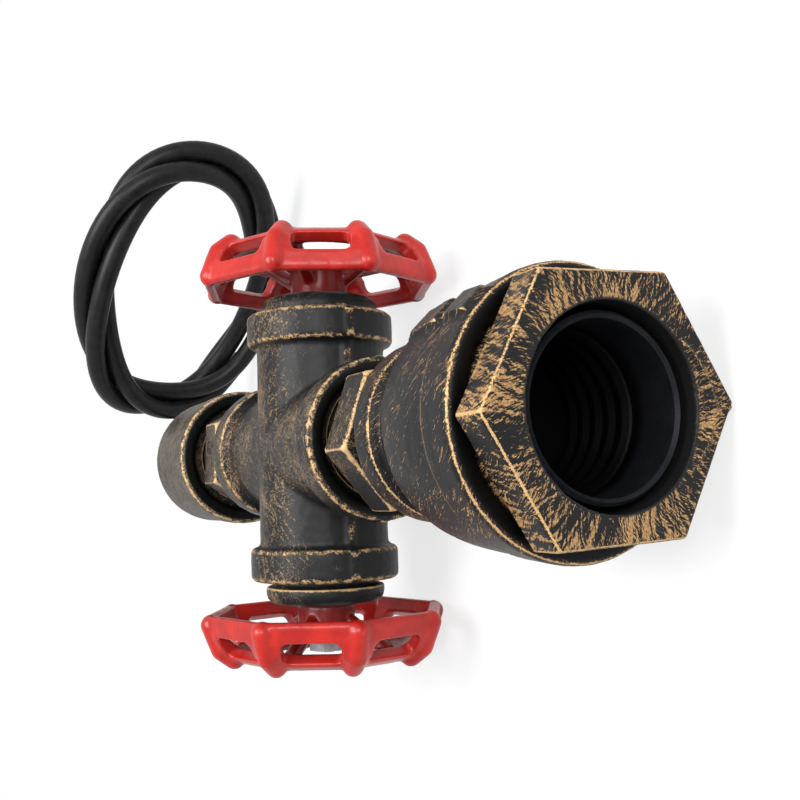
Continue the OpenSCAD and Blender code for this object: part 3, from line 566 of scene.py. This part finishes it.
wheelCast = {"voxel": 0.42, "ease": 4, "grain": 0.04, "rubRounds": 8, "sharpest": 0.99}
for side in ("right", "left"):
    castCopy(
        f"{side}_handwheel", f"{side}Handwheel", finishes["red"], f"{side}_wheel", wheelCast,
    )
print("castings made")

# cord: the route of the lead, then the coil, in millimetres and degrees
cordRoute = {
    "diameter": 6.8,
    "startStation": 196.8,
    "exitStation": 224.8,
    "leadPoints": [
        (0, 125, 39), (3, 138, 39), (8.5, 150, 38), (16, 160.5, 35.5), (25.5, 168.5, 31),
        (36.5, 172.5, 24.5), (47.5, 171, 17), (56.5, 164, 11), (63.5, 153.5, 7.5), (69.5, 141.5, 7.5),
    ],
    "leadSteps": 6,
    "centre": (64, 123, 41.5),
    "endRadius": 33.5,
    "stretch": 14,
    "yaw": 36,
    "lean": 17,
    "turns": 2.84,
    "start": 286,
    "layRadius": 4.4,
    "layStart": 120,
    "layRate": 5 / 3,
    "stepsPerTurn": 24,
    "finer": 4,
    "easeRounds": 8,
    "sides": 24,
}


def coilPoint(turn):
    r = cordRoute
    a = math.radians(r["start"] + 360 * turn)
    lay = math.radians(r["layStart"] + r["layRate"] * 360 * turn)
    yaw = math.radians(r["yaw"])
    lean = math.radians(r["lean"])
    aside = r["layRadius"] * math.cos(lay)
    across = (r["endRadius"] + aside) * math.cos(a)
    across += r["stretch"] * (3 * math.cos(a) - math.cos(a) ** 3) / 2
    up = (r["endRadius"] + aside) * math.sin(a)
    deep = r["layRadius"] * math.sin(lay)
    back = deep * math.cos(lean) - up * math.sin(lean)
    spot = Vector(r["centre"])
    spot += Vector((math.cos(yaw), -math.sin(yaw), 0)) * across
    spot += Vector((math.sin(yaw), math.cos(yaw), 0)) * back
    spot.z += deep * math.sin(lean) + up * math.cos(lean)
    return spot * mm


# direction of a line at one of its points, ruled by the nearer neighbour
def slope(before, here, after):
    first = here - before
    second = after - here
    if min(first.length, second.length) == 0:
        return (after - before).normalized()
    return (first.normalized() * second.length + second.normalized() * first.length).normalized()


def smoothLine(points, perSpan):
    line = []
    for i, (a, b) in enumerate(zip(points, points[1:])):
        out = slope(points[max(i - 1, 0)], a, b) * (b - a).length
        into = slope(a, b, points[min(i + 2, len(points) - 1)]) * (b - a).length
        for k in range(perSpan):
            t = k / perSpan
            line.append(
                a * (2 * t**3 - 3 * t**2 + 1)
                + out * (t**3 - 2 * t**2 + t)
                + b * (3 * t**2 - 2 * t**3)
                + into * (t**3 - t**2)
            )
    return line + [points[-1]]


def eased(line, rounds):
    for _ in range(rounds):
        middle = [(a + b + 2 * here) / 4 for a, here, b in zip(line, line[1:], line[2:])]
        line = [line[0]] + middle + [line[-1]]
    return line


# a geometry tree with named inputs, left open for the nodes in between
class Recipe(Bench):
    def __init__(self, name, kinds):
        super().__init__(bpy.data.node_groups.new(name, "GeometryNodeTree"))
        sides = self.tree.interface
        self.keys = {}
        for label, kind in kinds.items():
            made = sides.new_socket(label, in_out="INPUT", socket_type=f"NodeSocket{kind}")
            self.keys[label] = made.identifier
        sides.new_socket("Made", in_out="OUTPUT", socket_type="NodeSocketGeometry")
        group = self.tree.nodes.new("NodeGroupInput")
        self.given = {label: Wire(self, group.outputs[label]) for label in kinds}

    def close(self, *parts):
        join = self.tree.nodes.new("GeometryNodeJoinGeometry")
        for part in parts:
            self.tree.links.new(part.socket, join.inputs[0])
        real = self.node("GeometryNodeRealizeInstances", None, {"Geometry": Wire(self, join.outputs[0])})
        dressed = self.node("GeometryNodeSetMaterial", None, {
            "Geometry": real, "Material": self.given["Finish"],
        })
        self.tree.links.new(dressed.socket, self.tree.nodes.new("NodeGroupOutput").inputs["Made"])

    def bake(self, mesh, **values):
        holder = bpy.data.objects.new("recipeWork", mesh)
        scene.collection.objects.link(holder)
        step = holder.modifiers.new("recipe", "NODES")
        step.node_group = self.tree
        for label, value in values.items():
            step[self.keys[label]] = value
        made = takeMesh(holder)
        work = bmesh.new()
        work.from_mesh(made)
        bmesh.ops.recalc_face_normals(work, faces=work.faces)
        work.to_mesh(made)
        work.free()
        return made


# sweeps a round bar along a line
sweep = Recipe("sweep", {"Line": "Geometry", "Radius": "Float", "Sides": "Int", "Finish": "Material"})
sweep.close(sweep.node("GeometryNodeCurveToMesh", None, {
    "Curve": sweep.node("GeometryNodeMeshToCurve", None, {"Mesh": sweep.given["Line"]}),
    "Profile Curve": sweep.node("GeometryNodeCurvePrimitiveCircle", None, {
        "Resolution": sweep.given["Sides"], "Radius": sweep.given["Radius"],
    }),
    "Fill Caps": True,
}))


def swept(line, radius, sides, finish):
    wire = bpy.data.meshes.new("sweepLine")
    wire.from_pydata([tuple(p) for p in line], [(i, i + 1) for i in range(len(line) - 1)], [])
    return sweep.bake(wire, Radius=radius, Sides=sides, Finish=finish)


# sets rings along z round a turned piece, each smaller than the last
ribbing = Recipe("ribbing", {
    "Core": "Geometry", "Count": "Int", "First": "Vector", "Pitch": "Vector", "Radius": "Float",
    "Shrink": "Float", "Bead": "Float", "Sides": "Int", "BeadSides": "Int", "Finish": "Material",
})
ribSize = 1 - ribbing.node("GeometryNodeInputIndex") * ribbing.given["Shrink"]
ribbing.close(ribbing.given["Core"], ribbing.node("GeometryNodeInstanceOnPoints", None, {
    "Points": ribbing.node("GeometryNodeMeshLine", None, {
        "Count": ribbing.given["Count"],
        "Start Location": ribbing.given["First"],
        "Offset": ribbing.given["Pitch"],
    }),
    "Instance": ribbing.node("GeometryNodeCurveToMesh", None, {
        "Curve": ribbing.node("GeometryNodeCurvePrimitiveCircle", None, {
            "Resolution": ribbing.given["Sides"], "Radius": ribbing.given["Radius"],
        }),
        "Profile Curve": ribbing.node("GeometryNodeCurvePrimitiveCircle", None, {
            "Resolution": ribbing.given["BeadSides"], "Radius": ribbing.given["Bead"],
        }),
    }),
    "Scale": ribbing.node("ShaderNodeCombineXYZ", None, {0: ribSize, 1: ribSize, 2: 1.0}),
}))


# a solid turned about z from an outline of radius and station
def turnedMesh(outline, sides):
    work = bmesh.new()
    rings = []
    for k in range(sides):
        a = 2 * math.pi * k / sides
        spots = [(r * mm * math.cos(a), r * mm * math.sin(a), s * mm) for r, s in outline]
        rings.append([work.verts.new(spot) for spot in spots])
    for here, there in zip(rings, rings[1:] + rings[:1]):
        for i in range(len(outline)):
            j = (i + 1) % len(outline)
            work.faces.new((here[i], there[i], there[j], here[j]))
    mesh = bpy.data.meshes.new("turned")
    work.to_mesh(mesh)
    work.free()
    return mesh


# rubber sleeve where the cord leaves the cap: radii, stations and ribs
sleeveLook = {
    "bore": 3.45, "flange": 7.9, "neck": 5.95, "shoulder": 7.6, "tip": 4.6,
    "sunk": 0.7, "round": 0.3, "step": 0.2,
    "flangeFrom": 202.8, "wall": 205.8, "capEnd": 210.8, "taperFrom": 212.8, "end": 224.8,
    "ribs": 6, "firstRib": 214.4, "pitch": 1.75, "bead": 0.55, "sides": 64, "beadSides": 12,
}


def sleeveTaper(station):
    s = sleeveLook
    share = (station - s["taperFrom"]) / (s["end"] - s["taperFrom"])
    return s["shoulder"] + (s["tip"] - s["shoulder"]) * share


def reliefSleeve():
    s = sleeveLook
    bevel = s["round"]
    core = turnedMesh([
        (s["bore"], s["flangeFrom"]),
        (s["flange"], s["flangeFrom"]),
        (s["flange"], s["wall"]),
        (s["neck"], s["wall"]),
        (s["neck"], s["capEnd"]),
        (s["shoulder"] - bevel, s["capEnd"]),
        (s["shoulder"], s["capEnd"] + bevel),
        (s["shoulder"], s["taperFrom"] - bevel),
        (s["shoulder"] - bevel, s["taperFrom"]),
        (s["shoulder"] - s["sunk"], s["taperFrom"] + s["step"]),
        (s["tip"] - bevel, s["end"] - bevel),
        (s["tip"] - 2 * bevel, s["end"]),
        (s["bore"], s["end"]),
    ], s["sides"])
    lastRib = s["firstRib"] + s["pitch"] * (s["ribs"] - 1)
    firstRadius = sleeveTaper(s["firstRib"]) - s["bead"]
    lastRadius = sleeveTaper(lastRib) - s["bead"]
    mesh = ribbing.bake(
        core, Count=s["ribs"], First=(0, 0, s["firstRib"] * mm), Pitch=(0, 0, s["pitch"] * mm),
        Radius=firstRadius * mm, Shrink=(1 - lastRadius / firstRadius) / (s["ribs"] - 1),
        Bead=s["bead"] * mm, Sides=s["sides"], BeadSides=s["beadSides"], Finish=finishes["rubber"],
    )
    mesh.transform(laid)
    finished("reliefSleeve", mesh, finishes["rubber"], "lamp", ["strain_relief"])


reliefSleeve()
print("sleeve made")

thick = cordRoute["diameter"] * mm
oneStep = 1 / cordRoute["stepsPerTurn"]
coilSteps = round(cordRoute["turns"] * cordRoute["stepsPerTurn"])
fineSteps = coilSteps * cordRoute["finer"]
coilLine = [coilPoint(i * oneStep / cordRoute["finer"]) for i in range(fineSteps + 1)]
coilIn = (coilPoint(oneStep) - coilPoint(0)).normalized()
coilOut = (coilLine[-1] - coilPoint((coilSteps - 1) * oneStep)).normalized()
coilFirst = coilLine[0] - coilIn * thick
coilLast = coilLine[-1] + coilOut * thick
leadPoints = [onAxis(cordRoute["startStation"]), onAxis(cordRoute["exitStation"])]
leadPoints += [Vector(p) * mm for p in cordRoute["leadPoints"]]
leadPoints += [coilFirst - coilIn * thick, coilFirst]
wholeLine = smoothLine(leadPoints, cordRoute["leadSteps"]) + coilLine + [coilLast]
cordLine = eased(wholeLine, cordRoute["easeRounds"])
cordLength = sum((b - a).length for a, b in zip(cordLine, cordLine[1:]))
cord = finished(
    "pendantCord", swept(cordLine, thick / 2, cordRoute["sides"], finishes["rubber"]),
    finishes["rubber"], "lamp", ["cord_lead", "cord_coil"],
)

# three cores stand out of the cut end, each in its ferrule
coreLook = {"inside": 1.0, "length": 5.0, "radius": 1.1, "sides": 20}
coreEnds = {
    "brown_tail": ("brownCore", "brown"),
    "blue_tail": ("blueCore", "blue"),
    "earth_tail": ("earthCore", "earth"),
}
halfCore = coilOut * coreLook["length"] * mm / 2
for node, (name, finish) in coreEnds.items():
    spots, _ = meshArrays(nodes[node].data)
    middle = Vector(spots.mean(0))
    foot = middle - halfCore
    line = [foot - coilOut * coreLook["inside"] * mm, foot, middle, middle + halfCore]
    mesh = swept(line, coreLook["radius"] * mm, coreLook["sides"], finishes[finish])
    finished(name, mesh, finishes[finish], "lamp", [node])
print("cord", round(cordLength, 3), "m")

# finishes for the solids that stay as they are
solidFinish = {
    "holder": ["lampholder_shell", "lampholder_base", "lampholder_cap"],
    "brass": [
        "centre_contact", "side_contact", "terminal_blocks", "earth_tag",
        "right_thrust_washer", "left_thrust_washer",
    ],
    "steel": [
        "terminal_screws", "holder_tube", "carrier_disc", "holder_lock_nut", "cord_collar", "core_ferrules",
        "right_stem", "left_stem", "right_wheel_washer", "left_wheel_washer",
        "right_wheel_nut", "left_wheel_nut",
    ],
    "brown": ["live_wire"],
    "blue": ["neutral_wire"],
    "earth": ["earth_wire"],
    "felt": ["right_packing", "left_packing"],
}
for finish, names in solidFinish.items():
    for name in names:
        nodes[name].data.materials.clear()
        nodes[name].data.materials.append(finishes[finish])
print("solids finished")

# camera where the photo was taken, lying on its side
view = {
    "place": (-12.174, -238.281, 117.971),
    "right": (-0.02817, -0.39567, -0.91796),
    "down": (-0.99716, 0.07525, -0.00183),
    "lens": 45.0388,
    "sensor": 36,
    "shift": (0.01543, 0.027716),
    "clipFrom": 0.005,
}
eye = bpy.data.objects.new("eye", bpy.data.cameras.new("eye"))
scene.collection.objects.link(eye)
right = Vector(view["right"]).normalized()
up = -Vector(view["down"]).normalized()
turned = Matrix((right, up, right.cross(up))).transposed().to_4x4()
eye.matrix_world = Matrix.Translation(Vector(view["place"]) * mm) @ turned
eye.data.lens = view["lens"]
eye.data.sensor_width = view["sensor"]
eye.data.shift_x, eye.data.shift_y = view["shift"]
eye.data.clip_start = view["clipFrom"]
scene.camera = eye

# pale floor, white to the camera but with the shadow kept; the fade is in millimetres
floorLook = {
    "size": 3.0, "colour": (0.86, 0.86, 0.86), "rough": 0.9, "white": 0.75, "fadeFrom": 150, "fadeTo": 420,
}
skyLook = {"colour": (0.9, 0.95, 1.0), "strength": 0.3}


def seenDirectly(bench):
    kinds = ("Is Camera Ray", "Is Glossy Ray", "Is Transmission Ray")
    rays = [bench.node("ShaderNodeLightPath", out=kind) for kind in kinds]
    return rays[0] + rays[1] + rays[2]


half = floorLook["size"] / 2
corners = [(-half, -half, 0), (half, -half, 0), (half, half, 0), (-half, half, 0)]
floorMesh = bpy.data.meshes.new("floor")
floorMesh.from_pydata(corners, [], [(0, 1, 2, 3)])
floor = bpy.data.objects.new("floor", floorMesh)
scene.collection.objects.link(floor)
floorPaint = Paint("paleFloor", **{"Base Color": rgb(*floorLook["colour"]), "Roughness": floorLook["rough"]})
floorX, floorY, _ = floorPaint.split(floorPaint.place())
away = (floorX * floorX + floorY * floorY) ** 0.5
farOff = floorPaint.between(away, floorLook["fadeFrom"], floorLook["fadeTo"])
floorWhite = floorLook["white"] + farOff * (1 - floorLook["white"])
glow = floorPaint.node("ShaderNodeEmission", None, {"Color": rgb(1, 1, 1), "Strength": 1.0})
mixed = floorPaint.node("ShaderNodeMixShader", None, {
    0: seenDirectly(floorPaint) * floorWhite,
    1: Wire(floorPaint, floorPaint.shader.outputs[0]),
    2: glow,
})
floorPaint.tree.links.new(mixed.socket, floorPaint.tree.nodes["Material Output"].inputs[0])
floorMesh.materials.append(floorPaint.material)

world = bpy.data.worlds.new("studio")
scene.world = world
world.use_nodes = True
sky = Bench(world.node_tree)
lit = sky.node("ShaderNodeBackground", None, {
    "Color": rgb(*skyLook["colour"]), "Strength": skyLook["strength"],
})
white = sky.node("ShaderNodeBackground", None, {"Color": rgb(1, 1, 1), "Strength": 1.0})
skyMix = sky.node("ShaderNodeMixShader", None, {0: seenDirectly(sky), 1: lit, 2: white})
sky.tree.links.new(skyMix.socket, sky.tree.nodes["World Output"].inputs[0])

# softboxes: name, place, aim, size, watts
lamps = [
    ("topBox", (0.1, -0.15, 0.7), (0, 0, 0.03), 0.45, 7.5),
    ("frontBox", (0.2, -0.75, 0.4), (0, -0.05, 0.03), 0.4, 5.0),
]
for name, spot, aim, size, watts in lamps:
    light = bpy.data.objects.new(name, bpy.data.lights.new(name, "AREA"))
    scene.collection.objects.link(light)
    light.data.size = size
    light.data.energy = watts
    light.location = spot
    light.rotation_euler = (Vector(aim) - Vector(spot)).to_track_quat("-Z", "Y").to_euler()
scene.view_settings.view_transform = "Standard"
print("stage set")
